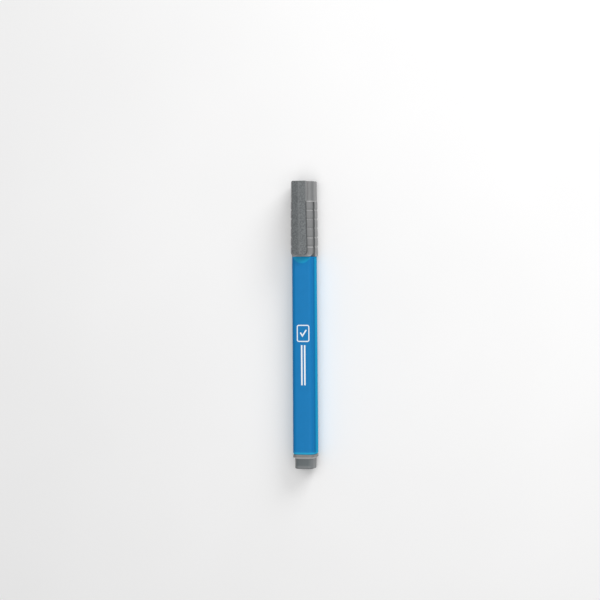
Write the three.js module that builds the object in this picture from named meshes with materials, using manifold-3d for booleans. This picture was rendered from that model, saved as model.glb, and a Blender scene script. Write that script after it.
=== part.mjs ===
// A felt-tip pen that tests banknotes: square barrel, pull-off cap with a wide clip, and an end plug.
// Millimetres, +Z up. The pen lies on its back face along Y, with its cap towards +Y and its clip up.
// Every piece is drawn about the pen's own axis, and the group lifts them all so that the back is at Z = 0.
import * as THREE from "three";
import { mergeVertices } from "three/addons/utils/BufferGeometryUtils.js";
import Module from "manifold-3d";

// ---------------------------------------------------------------- driving dimensions

const LENGTH = 140; // over everything, with the cap on
const CAP_LENGTH = 36.6;
const GRIP_TOP = 9.7; // from the cap's top down to the ledge where its grip starts
const STUB_LENGTH = 5.4; // the plug's stub, which the cap is posted on
const FLANGE_THICKNESS = 1.45;
const GAP = 0.25; // between pieces that touch in the real pen

const BARREL_HALF_FRONT = 5.4; // half the barrel's width at the cap
const BARREL_HALF_TAIL = 5.5; // and at the plug
const CORNER_RATIO = 0.4; // corner radius over half width, for the square sections
const CAP_HALF_TOP = 5.58;
const CAP_HALF_LEDGE = 5.7;
const CAP_HALF_RIM = 5.88;
const STUB_HALF = 4.65;
const FLANGE_HALF = 5.48;

const GRIP_PITCH = 4.45; // grip grooves around the cap
const GROOVE_WIDTH = 0.6;
const GROOVE_DEPTH = 0.22;
const GRIP_CROWN = 0.06; // how far each band of the grip stands out between two grooves

const SLOT_LOW = 1.8; // the long slot in each side of the cap, above the pen's axis
const SLOT_HIGH = 4.1;
const SLOT_FLOOR = 4.6; // from the pen's axis
const PANEL_CORNER_IN = 1.2; // how far the front panel's lower corners curve in
const PANEL_CORNER_LENGTH = 3.1;
const RAIL_TOP = 7.8; // the raised rail on the cap's front, under the clip's arm
const RAIL_FALL = 1.6; // how much lower it is at the rim than at the clip's root
const RAIL_HALF_CREST = 3.35;
const RAIL_HALF_FOOT = 4.9;
const RAIL_SHORT_OF_RIM = 0.6;

const CLIP_HALF = 3.55; // half the clip's width at its root
const CLIP_HALF_TIP = 3.85; // and at its tip
const CLIP_UNDER = 8.6; // underside of the clip above the pen's axis
const CLIP_EDGE = 10.2; // its top face at the sides
const CLIP_RIDGE = 10.7; // its top face along the middle
const CLIP_DROP = 0.8; // how far the arm leans in from its root to its tip
const CLIP_TIP_RADIUS = 2.2; // rounded corners of the tip
const CLIP_SHORT_OF_RIM = 0.7;
const CLIP_CHAMFER = 0.25;
const BEAD_RADIUS = 1.3; // the bead under the arm that holds a pocket's edge
const BEAD_LENGTH = 5;
const BEAD_FROM_TIP = 3.6;
const BEAD_PROUD = 1.0;
const PEG_RADIUS = 0.9; // pegs that fasten the clip to the root block
const PEG_DEPTH = 2.0;

const SCOOP_RADIUS = 5.0; // the thumb scoop, where it meets the barrel's front face
const SCOOP_DEPTH = 1.0;
const SCOOP_ABOVE_RIM = 1.4; // its centre lies this far under the cap

const CAP_BORE = 3.8;
const CAP_ROOF = 1.6; // thickness of the cap's closed end
const NECK_RADIUS = 3.5;
const SNAP_RADIUS = 3.7; // the ring on the neck that the cap clicks over
const SNAP_WIDTH = 1.4;
const SNAP_ABOVE_RIM = 4;
const NECK_LENGTH = 12.9;
const KEY_HALF = 3.75; // the square foot of the neck, which keeps the cap from turning
const KEY_LENGTH = 2.1;
const KEY_CORNER_RATIO = 0.32;
const NECK_BORE = 2.6;
const CHAMBER_RADIUS = 4.3;
const CHAMBER_END = 6.1; // from the barrel's front shoulder
const RIB_INNER = 4.05; // ribs in the chamber that leave air paths around the reservoir
const RIB_WIDTH = 0.7;
const RIB_COUNT = 4;

const RESERVOIR_RADIUS = 3.4;
const SLEEVE_RADIUS = 3.8;
const SLEEVE_WALL = 0.2;
const SPIGOT_RADIUS = 4.0;
const SPIGOT_LENGTH = 8.4;
const SPIGOT_RINGS = [4.4, 2.2]; // sealing rings around the spigot, from its end
const RING_PROUD = 0.12;
const RING_HALF = 0.2;
const PLUG_WALL = 1.0;
const PLUG_FLOOR = 1.8;

const HOLDER_TAIL = 6.5; // how far the nib holder goes into the neck
const HOLDER_FLANGE = 3.3;
const HOLDER_NOSE = 10; // how far it stands out of the neck
const HOLDER_NOSE_ROOT = 3.0; // its nose's radius at the flange
const HOLDER_NOSE_TIP = 2.6; // and at its mouth
const HOLDER_SOCKET = 6.3; // how deep the nib's body sits in its mouth
const NIB_RADIUS = 1.85;
const NIB_TAIL_RADIUS = 1.15;
const NIB_TAIL_REACH = 6.8; // how far the nib's tail goes into the reservoir
const NIB_BODY = 7.8; // the straight part of the nib, before its bullet tip
const NIB_TIP = 4.9;
const SLIDING_FIT = 0.3; // between the nib and what it passes through
const LINER_RADIUS = 3.5;
const LINER_WALL = 0.5;
const LINER_MOUTH = 4.5; // from the end of the neck

const ROUND_STEPS = 32;
const CORNER_STEPS = 3; // an arc gets twice as many sides

// Stations along the pen, worked out from the dimensions above
const capTop = LENGTH / 2;
const capRim = capTop - CAP_LENGTH;
const gripTop = capTop - GRIP_TOP;
const shoulder = capRim - GAP;
const stubEnd = -LENGTH / 2;
const flangeLow = stubEnd + STUB_LENGTH;
const flangeHigh = flangeLow + FLANGE_THICKNESS;
const barrelTail = flangeHigh + GAP;
const neckEnd = shoulder + NECK_LENGTH;
const chamberFront = shoulder - CHAMBER_END;
const spigotEnd = barrelTail + SPIGOT_LENGTH;
const reservoirTail = spigotEnd + 1.5;
const reservoirFront = chamberFront - 1.2;
const clipTip = capRim + CLIP_SHORT_OF_RIM;
const rootTop = CLIP_UNDER - GAP; // top of the block that the clip sits on
const pegPlaces = [gripTop + 2.6, gripTop + 6.8];

// ---------------------------------------------------------------- shapes

const wasm = await Module();
wasm.setup();

function solid(geometry) {
  const bare = geometry.clone();
  bare.deleteAttribute("normal");
  bare.deleteAttribute("uv");
  const merged = mergeVertices(bare, 1e-4);
  return new wasm.Manifold(
    new wasm.Mesh({
      numProp: 3,
      vertProperties: merged.attributes.position.array,
      triVerts: new Uint32Array(merged.index.array),
    }),
  );
}

// A round piece about the pen's axis. The profile's points are [radius, y] and go round the section once,
// up its outside and back down the axis or the bore.
function turned(profile) {
  const points = [...profile, profile[0]].map(([radius, y]) => new THREE.Vector2(radius, y));
  return solid(new THREE.LatheGeometry(points, ROUND_STEPS));
}

// A square with rounded corners, one unit from its centre to each side.
function squareSection(cornerRatio) {
  const straight = 1 - cornerRatio;
  const shape = new THREE.Shape();
  shape.absarc(straight, straight, cornerRatio, 0, Math.PI / 2);
  shape.absarc(-straight, straight, cornerRatio, Math.PI / 2, Math.PI);
  shape.absarc(-straight, -straight, cornerRatio, Math.PI, 1.5 * Math.PI);
  shape.absarc(straight, -straight, cornerRatio, 1.5 * Math.PI, 2 * Math.PI);
  shape.closePath();
  return shape;
}

// A bar along the pen. The section lies in X and Z. The stations run from the cap's end to the tail's,
// and each gives its place, the size of the section there and how far it is lifted.
function bar(section, stations) {
  const steps = stations.length - 1;
  const geometry = new THREE.ExtrudeGeometry(section, {
    depth: steps,
    steps,
    bevelEnabled: false,
    curveSegments: CORNER_STEPS,
  });
  const position = geometry.attributes.position;
  for (let i = 0; i < position.count; i += 1) {
    const { y, size = 1, lift = 0 } = stations[Math.round(position.getZ(i))];
    position.setXYZ(i, position.getX(i) * size, y, position.getY(i) * size + lift);
  }
  return solid(geometry);
}

// The stations of a rounded edge at one end of a bar, from the end face inwards, where inwards is +1 or -1
// along Y.
function roundedEdge(end, size, radius, inwards) {
  const steps = 3;
  return Array.from({ length: steps + 1 }, (_, i) => {
    const angle = ((i / steps) * Math.PI) / 2;
    return {
      y: end + inwards * radius * (1 - Math.cos(angle)),
      size: size - radius * (1 - Math.sin(angle)),
    };
  });
}

function highEnd(end, size, radius) {
  return roundedEdge(end, size, radius, -1);
}

function lowEnd(end, size, radius) {
  return roundedEdge(end, size, radius, 1).reverse();
}

function box(low, high) {
  const size = high.map((value, i) => value - low[i]);
  const geometry = new THREE.BoxGeometry(...size);
  return solid(geometry.translate(...low.map((value, i) => value + size[i] / 2)));
}

// An outline in X and Y, stood up along Z.
function plate(outline, low, high) {
  const geometry = new THREE.ExtrudeGeometry(outline, {
    depth: high - low,
    bevelEnabled: false,
    curveSegments: CORNER_STEPS,
  });
  return solid(geometry.translate(0, 0, low));
}

function uprightPin(radius, y, low, high) {
  const geometry = new THREE.CylinderGeometry(radius, radius, high - low, ROUND_STEPS / 2);
  return solid(geometry.rotateX(Math.PI / 2).translate(0, y, (low + high) / 2));
}

function unionOf(pieces) {
  return pieces.reduce((whole, piece) => whole.add(piece));
}

// ---------------------------------------------------------------- cap

function gripHalf(y) {
  return THREE.MathUtils.mapLinear(y, gripTop, capRim, CAP_HALF_LEDGE, CAP_HALF_RIM);
}

// The cap's outside: a plain top, a small ledge, and a grip of crowned bands parted by grooves.
function capStations() {
  const stations = [
    ...highEnd(capTop, CAP_HALF_TOP, 0.7),
    { y: gripTop, size: CAP_HALF_TOP },
    { y: gripTop - 0.15, size: CAP_HALF_LEDGE },
  ];
  for (let y = gripTop - GRIP_PITCH; y > capRim + GRIP_PITCH / 2; y -= GRIP_PITCH) {
    const middle = y + GRIP_PITCH / 2;
    stations.push({ y: middle, size: gripHalf(middle) + GRIP_CROWN });
    stations.push({ y: y + GROOVE_WIDTH / 2, size: gripHalf(y) });
    stations.push({ y, size: gripHalf(y) - GROOVE_DEPTH });
    stations.push({ y: y - GROOVE_WIDTH / 2, size: gripHalf(y) });
  }
  stations.push(...lowEnd(capRim, CAP_HALF_RIM, 0.3));
  return stations;
}

// What is cut from one side of the cap: the slot, and the curve at the front panel's lower corner.
function sideCut() {
  const outside = CAP_HALF_RIM + 1;
  const slot = box([SLOT_FLOOR, capRim - 1, SLOT_LOW], [outside, gripTop - 0.5, SLOT_HIGH]);
  const cornerTop = capRim + PANEL_CORNER_LENGTH;
  const corner = new THREE.Shape();
  corner.moveTo(CAP_HALF_RIM - PANEL_CORNER_IN, capRim - 1);
  corner.lineTo(outside, capRim - 1);
  corner.lineTo(outside, cornerTop);
  corner.lineTo(CAP_HALF_RIM + 0.05, cornerTop);
  corner.quadraticCurveTo(CAP_HALF_RIM, capRim + 1.2, CAP_HALF_RIM - PANEL_CORNER_IN, capRim - 0.05);
  corner.closePath();
  return slot.add(plate(corner, SLOT_LOW, outside));
}

// The rail's sloping sides narrow it towards its crest, and it falls towards the rim.
function makeRail() {
  const foot = CAP_HALF_TOP - 0.8;
  const section = new THREE.Shape();
  section.moveTo(-RAIL_HALF_FOOT, foot);
  section.lineTo(RAIL_HALF_FOOT, foot);
  section.lineTo(RAIL_HALF_CREST, RAIL_TOP);
  section.lineTo(-RAIL_HALF_CREST, RAIL_TOP);
  section.closePath();
  return bar(section, [{ y: gripTop + 1 }, { y: capRim + RAIL_SHORT_OF_RIM, lift: -RAIL_FALL }]);
}

function makeCapShell() {
  const shell = bar(squareSection(CORNER_RATIO), capStations());
  const rootBlock = box([-CLIP_HALF, gripTop, CAP_HALF_TOP - 1], [CLIP_HALF, capTop - 0.3, rootTop]);
  const pegHoles = pegPlaces.map((y) =>
    uprightPin(PEG_RADIUS + 0.3, y, CLIP_UNDER - PEG_DEPTH - 0.3, rootTop + 1),
  );
  const snapAt = capRim + SNAP_ABOVE_RIM;
  const bore = turned([
    [0, capRim - 1],
    [CAP_BORE, capRim - 1],
    [CAP_BORE, snapAt - SNAP_WIDTH],
    [CAP_BORE + 0.2, snapAt - SNAP_WIDTH / 2],
    [CAP_BORE + 0.2, snapAt + SNAP_WIDTH / 2],
    [CAP_BORE, snapAt + SNAP_WIDTH],
    [CAP_BORE, capTop - CAP_ROOF],
    [0, capTop - CAP_ROOF],
  ]);
  const keyway = bar(squareSection(KEY_CORNER_RATIO), [
    { y: shoulder + KEY_LENGTH + 2 * GAP, size: KEY_HALF + 0.15 },
    { y: capRim - 1, size: KEY_HALF + 0.15 },
  ]);
  const rightCut = sideCut();
  const cuts = unionOf([bore, keyway, rightCut, rightCut.mirror([1, 0, 0]), ...pegHoles]);
  return unionOf([shell, rootBlock, makeRail()]).subtract(cuts);
}

function makeCapLiner() {
  const mouth = neckEnd + LINER_MOUTH;
  const crown = capTop - CAP_ROOF - GAP;
  return turned([
    [0, crown],
    [0, crown - 2 * LINER_WALL],
    [LINER_RADIUS - LINER_WALL, crown - 2 * LINER_WALL],
    [LINER_RADIUS - LINER_WALL, mouth],
    [LINER_RADIUS, mouth],
    [LINER_RADIUS, crown],
  ]);
}

// ---------------------------------------------------------------- clip

// The clip's section: flat below, with a shallow roof that meets in a ridge along the middle.
function clipSection(half) {
  const inner = half - CLIP_CHAMFER;
  const shape = new THREE.Shape();
  shape.moveTo(-half, CLIP_UNDER);
  shape.lineTo(half, CLIP_UNDER);
  shape.lineTo(half, CLIP_EDGE - CLIP_CHAMFER);
  shape.lineTo(inner, CLIP_EDGE);
  shape.lineTo(0, CLIP_RIDGE);
  shape.lineTo(-inner, CLIP_EDGE);
  shape.lineTo(-half, CLIP_EDGE - CLIP_CHAMFER);
  shape.closePath();
  return shape;
}

function makeClipBase() {
  const slab = bar(clipSection(CLIP_HALF), [{ y: capTop }, { y: gripTop + GAP }]);
  const pegs = pegPlaces.map((y) =>
    uprightPin(PEG_RADIUS, y, CLIP_UNDER - PEG_DEPTH, CLIP_UNDER + 0.5),
  );
  return unionOf([slab, ...pegs]);
}

function makeClipArm() {
  const slab = bar(clipSection(CLIP_HALF_TIP), [{ y: gripTop }, { y: clipTip, lift: -CLIP_DROP }]);
  const straight = CLIP_HALF_TIP - CLIP_TIP_RADIUS;
  const centre = clipTip + CLIP_TIP_RADIUS;
  const outline = new THREE.Shape();
  outline.moveTo(CLIP_HALF, gripTop);
  outline.lineTo(-CLIP_HALF, gripTop);
  outline.absarc(-straight, centre, CLIP_TIP_RADIUS, Math.PI, 1.5 * Math.PI);
  outline.absarc(straight, centre, CLIP_TIP_RADIUS, 1.5 * Math.PI, 2 * Math.PI);
  outline.closePath();
  const beadGeometry = new THREE.CylinderGeometry(BEAD_RADIUS, BEAD_RADIUS, BEAD_LENGTH, ROUND_STEPS / 2);
  const beadHeight = CLIP_UNDER - CLIP_DROP - BEAD_PROUD + BEAD_RADIUS;
  const bead = solid(
    beadGeometry.rotateZ(Math.PI / 2).translate(0, clipTip + BEAD_FROM_TIP, beadHeight),
  );
  const softBead = bead.subtract(box([-9, 0, CLIP_UNDER - 0.2], [9, capTop, CLIP_RIDGE + 2]));
  return slab.intersect(plate(outline, 0, CLIP_RIDGE + 1)).add(softBead);
}

// ---------------------------------------------------------------- barrel

// A ball that cuts a dish of the wanted radius and depth into the barrel's front face.
function scoopBall() {
  const ballRadius = (SCOOP_RADIUS ** 2 + SCOOP_DEPTH ** 2) / (2 * SCOOP_DEPTH);
  const height = BARREL_HALF_FRONT + ballRadius - SCOOP_DEPTH;
  const ball = new THREE.SphereGeometry(ballRadius, 64, 48).rotateX(Math.PI / 2);
  return solid(ball.translate(0, capRim + SCOOP_ABOVE_RIM, height));
}

function makeBarrel() {
  const body = bar(squareSection(CORNER_RATIO), [
    ...highEnd(shoulder, BARREL_HALF_FRONT, 0.2),
    ...lowEnd(barrelTail, BARREL_HALF_TAIL, 0.5),
  ]);
  const snapAt = capRim + SNAP_ABOVE_RIM;
  const neck = turned([
    [0, shoulder - 2],
    [NECK_RADIUS, shoulder - 2],
    [NECK_RADIUS, snapAt - SNAP_WIDTH],
    [SNAP_RADIUS, snapAt - SNAP_WIDTH / 2],
    [SNAP_RADIUS, snapAt + SNAP_WIDTH / 2],
    [NECK_RADIUS, snapAt + SNAP_WIDTH],
    [NECK_RADIUS, neckEnd - 0.5],
    [NECK_RADIUS - 0.5, neckEnd],
    [0, neckEnd],
  ]);
  const key = bar(squareSection(KEY_CORNER_RATIO), [
    ...highEnd(shoulder + KEY_LENGTH, KEY_HALF, 0.3),
    { y: shoulder - 1, size: KEY_HALF },
  ]);
  const bore = turned([
    [0, barrelTail - 1],
    [CHAMBER_RADIUS, barrelTail - 1],
    [CHAMBER_RADIUS, chamberFront - 1],
    [NECK_BORE, chamberFront + 0.7],
    [NECK_BORE, neckEnd + 1],
    [0, neckEnd + 1],
  ]);
  const ribs = Array.from({ length: RIB_COUNT }, (_, i) =>
    box(
      [RIB_INNER, spigotEnd + 4, -RIB_WIDTH / 2],
      [CHAMBER_RADIUS + 0.4, chamberFront - 1, RIB_WIDTH / 2],
    ).rotate([0, 45 + (i * 360) / RIB_COUNT, 0]),
  );
  return unionOf([unionOf([body, neck, key]).subtract(bore).subtract(scoopBall()), ...ribs]);
}

// ---------------------------------------------------------------- ink system

function makeNibHolder() {
  const flange = neckEnd + GAP;
  const mouth = neckEnd + HOLDER_NOSE;
  const outer = NECK_BORE - SLIDING_FIT;
  const tailBore = NIB_TAIL_RADIUS + SLIDING_FIT;
  const socketBore = NIB_RADIUS + SLIDING_FIT;
  return turned([
    [tailBore, neckEnd - HOLDER_TAIL],
    [outer, neckEnd - HOLDER_TAIL],
    [outer, flange],
    [HOLDER_FLANGE, flange],
    [HOLDER_FLANGE, flange + 1],
    [HOLDER_NOSE_ROOT, flange + 1.35],
    [HOLDER_NOSE_TIP, mouth - 0.4],
    [HOLDER_NOSE_TIP - 0.25, mouth],
    [socketBore, mouth],
    [socketBore, mouth - HOLDER_SOCKET],
    [tailBore, mouth - HOLDER_SOCKET],
  ]);
}

function makeNib() {
  const tail = reservoirFront - NIB_TAIL_REACH;
  const step = neckEnd + HOLDER_NOSE - HOLDER_SOCKET + SLIDING_FIT;
  const tipStart = step + NIB_BODY;
  const bullet = [0, 1, 2, 3, 4].map((i) => {
    const angle = ((i / 5) * Math.PI) / 2;
    return [NIB_RADIUS * Math.cos(angle), tipStart + NIB_TIP * Math.sin(angle)];
  });
  return turned([
    [0, tail],
    [NIB_TAIL_RADIUS - 0.45, tail],
    [NIB_TAIL_RADIUS, tail + 1],
    [NIB_TAIL_RADIUS, step],
    [NIB_RADIUS, step],
    ...bullet,
    [0, tipStart + NIB_TIP],
  ]);
}

function makeReservoir() {
  const socket = reservoirFront - NIB_TAIL_REACH - SLIDING_FIT;
  const socketRadius = NIB_TAIL_RADIUS + SLIDING_FIT;
  return turned([
    [0, reservoirTail],
    [RESERVOIR_RADIUS, reservoirTail],
    [RESERVOIR_RADIUS, reservoirFront],
    [socketRadius, reservoirFront],
    [socketRadius, socket],
    [0, socket],
  ]);
}

function makeSleeve() {
  const low = reservoirTail - 0.2;
  const high = reservoirFront + 0.1;
  const inner = SLEEVE_RADIUS - SLEEVE_WALL;
  return turned([
    [inner, low],
    [SLEEVE_RADIUS, low],
    [SLEEVE_RADIUS, high],
    [inner, high],
  ]);
}

// ---------------------------------------------------------------- end plug

function makeEndPlug() {
  const flange = bar(squareSection(CORNER_RATIO), [
    ...highEnd(flangeHigh, FLANGE_HALF, 0.2),
    ...lowEnd(flangeLow, FLANGE_HALF, 0.3),
  ]);
  const stub = bar(squareSection(CORNER_RATIO), [
    { y: flangeLow + 0.5, size: STUB_HALF },
    ...lowEnd(stubEnd, STUB_HALF, 0.7),
  ]);
  const rings = SPIGOT_RINGS.flatMap((fromEnd) => [
    [SPIGOT_RADIUS, spigotEnd - fromEnd - 3 * RING_HALF],
    [SPIGOT_RADIUS + RING_PROUD, spigotEnd - fromEnd - RING_HALF],
    [SPIGOT_RADIUS + RING_PROUD, spigotEnd - fromEnd + RING_HALF],
    [SPIGOT_RADIUS, spigotEnd - fromEnd + 3 * RING_HALF],
  ]);
  const spigot = turned([
    [0, flangeLow + 0.5],
    [SPIGOT_RADIUS, flangeLow + 0.5],
    ...rings,
    [SPIGOT_RADIUS - 0.4, spigotEnd],
    [0, spigotEnd],
  ]);
  const inside = SPIGOT_RADIUS - PLUG_WALL;
  const hollow = turned([
    [0, stubEnd + PLUG_FLOOR],
    [inside - 0.4, stubEnd + PLUG_FLOOR],
    [inside, spigotEnd + 1],
    [0, spigotEnd + 1],
  ]);
  return unionOf([flange, stub, spigot]).subtract(hollow);
}

// ---------------------------------------------------------------- assembly

const group = new THREE.Group();
group.position.z = CAP_HALF_RIM;

function addPiece(name, piece, color, roughness) {
  const { vertProperties, triVerts } = piece.getMesh();
  const indexed = new THREE.BufferGeometry();
  indexed.setAttribute("position", new THREE.BufferAttribute(vertProperties, 3));
  indexed.setIndex(new THREE.BufferAttribute(triVerts, 1));
  const geometry = indexed.toNonIndexed();
  geometry.computeVertexNormals();
  const material = new THREE.MeshStandardMaterial({ color, roughness, metalness: 0 });
  const mesh = new THREE.Mesh(geometry, material);
  mesh.name = name;
  group.add(mesh);
}

addPiece("cap_shell", makeCapShell(), 0x87888a, 0.45);
addPiece("cap_liner", makeCapLiner(), 0xe6e6e2, 0.6);
addPiece("clip_base", makeClipBase(), 0x6d7275, 0.55);
addPiece("clip_arm", makeClipArm(), 0x6d7275, 0.55);
addPiece("barrel", makeBarrel(), 0x207eba, 0.3);
addPiece("nib_holder", makeNibHolder(), 0x3b3e41, 0.4);
addPiece("nib", makeNib(), 0xc9a24b, 0.95);
addPiece("ink_reservoir", makeReservoir(), 0xd9c48f, 0.95);
addPiece("reservoir_sleeve", makeSleeve(), 0xf2f2f0, 0.35);
addPiece("end_plug", makeEndPlug(), 0x7c7f82, 0.45);

export default group;
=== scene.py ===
import math

import bmesh
import bpy
from mathutils import Matrix, Vector


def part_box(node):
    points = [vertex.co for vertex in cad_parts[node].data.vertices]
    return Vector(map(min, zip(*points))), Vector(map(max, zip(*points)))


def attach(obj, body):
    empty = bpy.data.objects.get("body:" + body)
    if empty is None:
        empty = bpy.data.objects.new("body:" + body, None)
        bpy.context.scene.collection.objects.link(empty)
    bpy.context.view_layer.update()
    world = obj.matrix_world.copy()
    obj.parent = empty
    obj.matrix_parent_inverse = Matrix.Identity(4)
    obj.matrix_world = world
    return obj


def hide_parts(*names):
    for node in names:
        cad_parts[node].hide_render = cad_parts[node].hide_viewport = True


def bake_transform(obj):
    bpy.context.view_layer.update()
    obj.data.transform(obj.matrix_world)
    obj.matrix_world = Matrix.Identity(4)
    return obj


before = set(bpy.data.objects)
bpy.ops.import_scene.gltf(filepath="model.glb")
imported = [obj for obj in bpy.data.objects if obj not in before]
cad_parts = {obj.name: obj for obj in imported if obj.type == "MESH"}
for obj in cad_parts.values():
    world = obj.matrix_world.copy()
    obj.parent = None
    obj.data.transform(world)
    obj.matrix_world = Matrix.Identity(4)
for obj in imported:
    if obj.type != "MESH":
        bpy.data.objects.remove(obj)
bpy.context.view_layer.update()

MM = 0.001


def box_mm(node):
    low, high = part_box(node)
    return low / MM, high / MM


cap_low, cap_high = box_mm("cap_shell")
base_high = box_mm("clip_base")[1]
arm_low, arm_high = box_mm("clip_arm")
barrel_low, barrel_high = box_mm("barrel")
plug_low, plug_high = box_mm("end_plug")
holder_low, holder_high = box_mm("nib_holder")
nib_low, nib_high = box_mm("nib")
liner_low, liner_high = box_mm("cap_liner")
fibre_low, fibre_high = box_mm("ink_reservoir")
sleeve_low, sleeve_high = box_mm("reservoir_sleeve")

AXIS = (barrel_low.z + barrel_high.z) / 2  # the pen's axis lies this far above the floor
CAP_TOP, CAP_RIM = cap_high.y, cap_low.y
GRIP_TOP = arm_high.y  # where the clip's root ends and the cap's grip begins
BARREL_TAIL, NECK_END = barrel_low.y, barrel_high.y
STUB_END, SPIGOT_END = plug_low.y, plug_high.y
CLIP_SLIM = 0.12  # the moulding's side walls lie this far inside its CAD solids' sides
CLIP_HALF, CLIP_HALF_TIP, CLIP_TIP = base_high.x - CLIP_SLIM, arm_high.x - CLIP_SLIM, arm_low.y
CLIP_RIDGE = base_high.z - AXIS
CLIP_ROOF = 0.5  # how much higher the clip's middle is than its sides
CLIP_THICKNESS = 1.6  # at its sides
CLIP_UNDER = CLIP_RIDGE - CLIP_ROOF - CLIP_THICKNESS

JOINT_GAP = 0.06  # between mouldings that touch
SHOULDER = CAP_RIM - JOINT_GAP
BARREL_HALF_FRONT, BARREL_HALF_TAIL = 5.4, barrel_high.x
CORNER_RATIO = 0.4  # corner radius over half width, for the square sections
FACE_CROWN = 0.13  # how far the middle of a square face stands out from its sides

FACE_STEPS, ARC_STEPS = 12, 10  # sides along each face and round each corner of a square section
CORNER_ROUNDING = 0.15  # how far the rounding of a profile's corners reaches, unless a moulding says more
SHARP_ANGLE = math.radians(24)  # a fold turned further than this is shaded as an edge
SAME_POINT = 0.00001 * MM  # points of one surface closer than this are one point
WELD = 0.003 * MM  # and where two solids are joined or cut


# ---------------------------------------------------------------- mesh making


def finish_mesh(name, bm):
    bmesh.ops.remove_doubles(bm, verts=bm.verts, dist=SAME_POINT)
    bmesh.ops.recalc_face_normals(bm, faces=bm.faces)
    mesh = bpy.data.meshes.new(name)
    bm.to_mesh(mesh)
    bm.free()
    mesh.polygons.foreach_set("use_smooth", [True] * len(mesh.polygons))
    mesh.set_sharp_from_angle(angle=SHARP_ANGLE)
    piece = bpy.data.objects.new(name, mesh)
    bpy.context.collection.objects.link(piece)
    return piece


def loft(bm, rings, capped=True):
    """Joins each ring of points to the next, and closes the first and the last with a face if capped."""
    for near, far in zip(rings, rings[1:]):
        for i in range(len(near)):
            j = (i + 1) % len(near)
            bm.faces.new((near[i], near[j], far[j], far[i]))
    if capped:
        bm.faces.new(rings[0])
        bm.faces.new(rings[-1])


def metres(x, y, z):
    """A place in millimetres about the pen's axis, as metres in the row frame."""
    return Vector((x, y, z + AXIS)) * MM


def solid(name, rings, closed=False):
    """A piece through rings of points (x, y, z): a tube whose ends meet if closed, or else capped."""
    bm = bmesh.new()
    loops = [[bm.verts.new(metres(*point)) for point in ring] for ring in rings]
    if closed:
        loops.append(loops[0])
    loft(bm, loops, capped=not closed)
    return finish_mesh(name, bm)


def mix(a, b, t):
    return a + (b - a) * t


def bend(start, corner, end, t):
    """A point on the curve from start to end that heads for the corner at both its ends."""
    return start.lerp(corner, t).lerp(corner.lerp(end, t), t)


def sign(value):
    return (value > 0) - (value < 0)


def unit_square():
    """Points (x, z) round a square with rounded corners, one unit from its centre to each side."""
    straight = 1 - CORNER_RATIO
    points = []
    for quarter in range(4):
        turn = Matrix.Rotation(quarter * math.pi / 2, 2)
        face = [(1, straight * (2 * i / FACE_STEPS - 1)) for i in range(FACE_STEPS)]
        angles = [i / ARC_STEPS * math.pi / 2 for i in range(ARC_STEPS)]
        arc = [(straight + CORNER_RATIO * math.cos(a), straight + CORNER_RATIO * math.sin(a)) for a in angles]
        points += [turn @ Vector(p) for p in face + arc]
    return points


SQUARE = unit_square()
CIRCLE = [p.normalized() for p in SQUARE]


def outline(size, squareness):
    """A ring's points (x, z), from a circle at squareness 0 to a crowned square at squareness 1."""
    ring = []
    for square_point, round_point in zip(SQUARE, CIRCLE):
        across, up = square_point
        x, z = square_point * size
        crowned = Vector((x - FACE_CROWN * sign(across) * up**2, z - FACE_CROWN * sign(up) * across**2))
        ring.append((round_point * size).lerp(crowned, squareness))
    return ring


def softened(profile, radius):
    """The profile with each corner rounded: radius is how far along each side the rounding reaches."""
    steps = 4
    most = 0.45  # of a side's length, so that the roundings at its two ends don't meet
    points = [Vector(p) for p in profile]
    soft = [points[0]]
    for before, corner, after in zip(points, points[1:], points[2:]):
        back, ahead = before - corner, after - corner
        start = corner + back * min(most, radius / back.length)
        end = corner + ahead * min(most, radius / ahead.length)
        soft += [bend(start, corner, end, i / steps) for i in range(steps + 1)]
    return soft + [points[-1]]


def skin(name, profile, radius=CORNER_ROUNDING, closed=False):
    """A moulding about the pen's axis. Its profile's points are (size, y, squareness) and go along its
    surface. A closed profile is a tube, whose two ends meet. Any other is capped at both ends."""
    if closed:
        middle = (Vector(profile[0]) + Vector(profile[-1])) / 2
        profile = [middle, *profile, middle]
    rows = softened(profile, radius)
    if closed:
        rows.pop()
    rings = [[(x, y, z) for x, z in outline(size, squareness)] for size, y, squareness in rows]
    return solid(name, rings, closed)


def rounded_box(low, high, radius):
    """A box between two corners (x, y, z), with its edges rounded."""
    bm = bmesh.new()
    bmesh.ops.create_cube(bm, size=1)
    for vertex in bm.verts:
        share = vertex.co + Vector((0.5, 0.5, 0.5))
        vertex.co = metres(*(a + (b - a) * s for a, b, s in zip(low, high, share)))
    if radius:
        bmesh.ops.bevel(bm, geom=bm.edges[:], offset=radius * MM, segments=4, profile=0.5, affect="EDGES")
    return finish_mesh("box", bm)


def stood_up(points, low, high):
    """An outline in X and Y, stood up along Z."""
    return solid("outline", [[(x, y, z) for x, y in points] for z in (low, high)])


def weld(mesh):
    """Merges points that lie almost together, which leaves no slivers where two surfaces cross."""
    bm = bmesh.new()
    bm.from_mesh(mesh)
    bmesh.ops.remove_doubles(bm, verts=bm.verts, dist=WELD)
    bmesh.ops.dissolve_degenerate(bm, edges=bm.edges, dist=WELD / 2)
    bm.to_mesh(mesh)
    bm.free()


def combine(piece, other, operation):
    """Joins another solid to the piece or cuts it away, and removes that solid."""
    modifier = piece.modifiers.new(operation, "BOOLEAN")
    modifier.operation = operation
    modifier.solver = "EXACT"
    modifier.object = other
    graph = bpy.context.evaluated_depsgraph_get()
    mesh = bpy.data.meshes.new_from_object(piece.evaluated_get(graph))
    piece.modifiers.clear()
    piece.data = mesh
    weld(mesh)
    mesh.set_sharp_from_angle(angle=SHARP_ANGLE)
    bpy.data.objects.remove(other)


# ---------------------------------------------------------------- cap

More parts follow.
